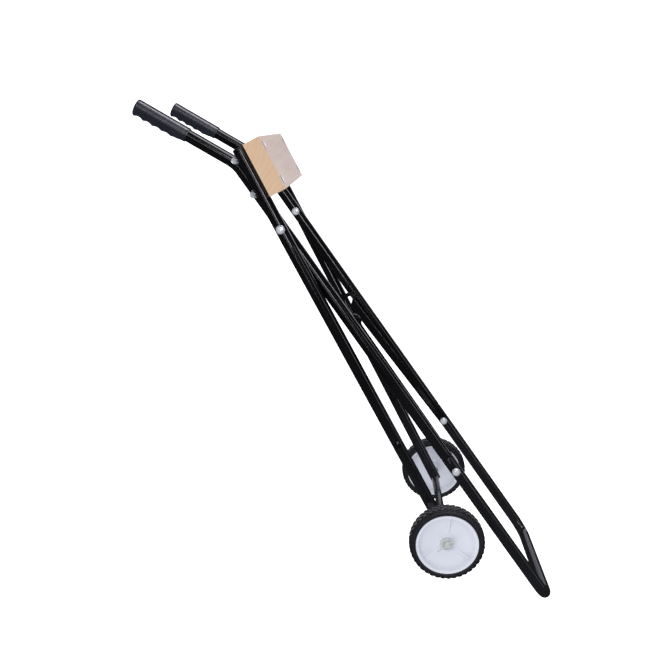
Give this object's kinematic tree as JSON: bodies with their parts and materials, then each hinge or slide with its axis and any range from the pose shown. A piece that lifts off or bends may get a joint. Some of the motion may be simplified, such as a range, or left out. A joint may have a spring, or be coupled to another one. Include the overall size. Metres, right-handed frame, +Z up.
{
  "type": "folding outboard motor cart",
  "caption": "Folding two-wheeled carrier for an outboard boat motor, folded flat: bent tube side frame with foot loop and grips, crossed leg frame with wooden transom block.",
  "frame": {"origin": "centre of the cart's footprint, on the floor under it, folded and lying on its wheels and grip ends", "axes": "+X from the grips to the foot loop, +Y to the cart's left side, +Z up"},
  "size_m": [1.3694, 0.442, 0.2099],
  "materials": {
    "black_paint": "gloss black powder coat on steel",
    "grip_rubber": "soft dark grey moulded grip",
    "wood": "sanded softwood, unvarnished",
    "zinc": "bright zinc plate",
    "black_plastic": "black moulded plastic",
    "white_plastic": "white moulded plastic, faintly lavender",
    "tyre_rubber": "solid rubber tyre with a block tread"
  },
  "bodies": {
    "main_frame": {"side_tube_right": "black_paint", "side_tube_left": "black_paint", "grip_right": "grip_rubber", "grip_left": "grip_rubber", "pivot_bolt_right": "zinc", "pivot_bolt_left": "zinc", "pivot_spacer_right": "black_plastic", "pivot_spacer_left": "black_plastic", "pivot_nut_right": "zinc", "pivot_nut_left": "zinc", "foot_bolt_right": "zinc", "foot_bolt_left": "zinc", "foot_washer_right": "zinc", "foot_washer_left": "zinc", "foot_nut_right": "zinc", "foot_nut_left": "zinc", "brace_spacer_right": "black_plastic", "brace_spacer_left": "black_plastic", "foot_loop": "black_paint"},
    "leg_frame": {"leg_tube_right": "black_paint", "leg_tube_left": "black_paint", "top_plug_right": "black_plastic", "top_plug_left": "black_plastic", "block_bolt_upper_right": "zinc", "block_bolt_upper_left": "zinc", "block_bolt_lower_right": "zinc", "block_bolt_lower_left": "zinc", "block_washer_upper_right": "zinc", "block_washer_upper_left": "zinc", "block_washer_lower_right": "zinc", "block_washer_lower_left": "zinc", "block_nut_upper_right": "zinc", "block_nut_upper_left": "zinc", "block_nut_lower_right": "zinc", "block_nut_lower_left": "zinc", "latch_stud_right": "zinc", "latch_stud_left": "zinc", "latch_clip_right": "zinc", "latch_clip_left": "zinc", "inner_washer_right": "zinc", "inner_washer_left": "zinc", "outer_washer_right": "zinc", "outer_washer_left": "zinc", "axle_pin_right": "zinc", "axle_pin_left": "zinc", "transom_block": "wood", "axle_tube": "black_paint", "axle_rod": "zinc"},
    "right_wheel": {"tyre_right": "tyre_rubber", "hub_right": "white_plastic", "bush_right": "black_plastic"},
    "right_brace": {"brace_right": "black_paint"},
    "left_wheel": {"tyre_left": "tyre_rubber", "hub_left": "white_plastic", "bush_left": "black_plastic"},
    "left_brace": {"brace_left": "black_paint"}
  },
  "joints": [
    {"name": "leg_fold", "type": "hinge", "parent": "main_frame", "child": "leg_frame", "pos_m": [-0.32378, 0, 0.13437], "axis": [0, 1, 0], "range_deg": [0, 29.9]},
    {"name": "right_brace_swing", "type": "hinge", "parent": "main_frame", "child": "right_brace", "pos_m": [0.30696, 0, 0.17433], "axis": [0, -1, 0], "range_deg": [0, 55.42]},
    {"name": "left_brace_swing", "type": "hinge", "parent": "main_frame", "child": "left_brace", "pos_m": [0.30696, 0, 0.17433], "axis": [0, -1, 0], "range_deg": [0, 52.62]},
    {"name": "right_wheel_spin", "type": "hinge", "parent": "leg_frame", "child": "right_wheel", "pos_m": [0.42532, -0.203, 0.081], "axis": [0, 1, 0], "continuous": true},
    {"name": "left_wheel_spin", "type": "hinge", "parent": "leg_frame", "child": "left_wheel", "pos_m": [0.42532, 0.203, 0.081], "axis": [0, 1, 0], "continuous": true}
  ],
  "couplings": [
    {"joint": "right_brace_swing", "follows": "leg_fold", "ratio": 1.8531},
    {"joint": "left_brace_swing", "follows": "leg_fold", "ratio": 1.7594}
  ]
}
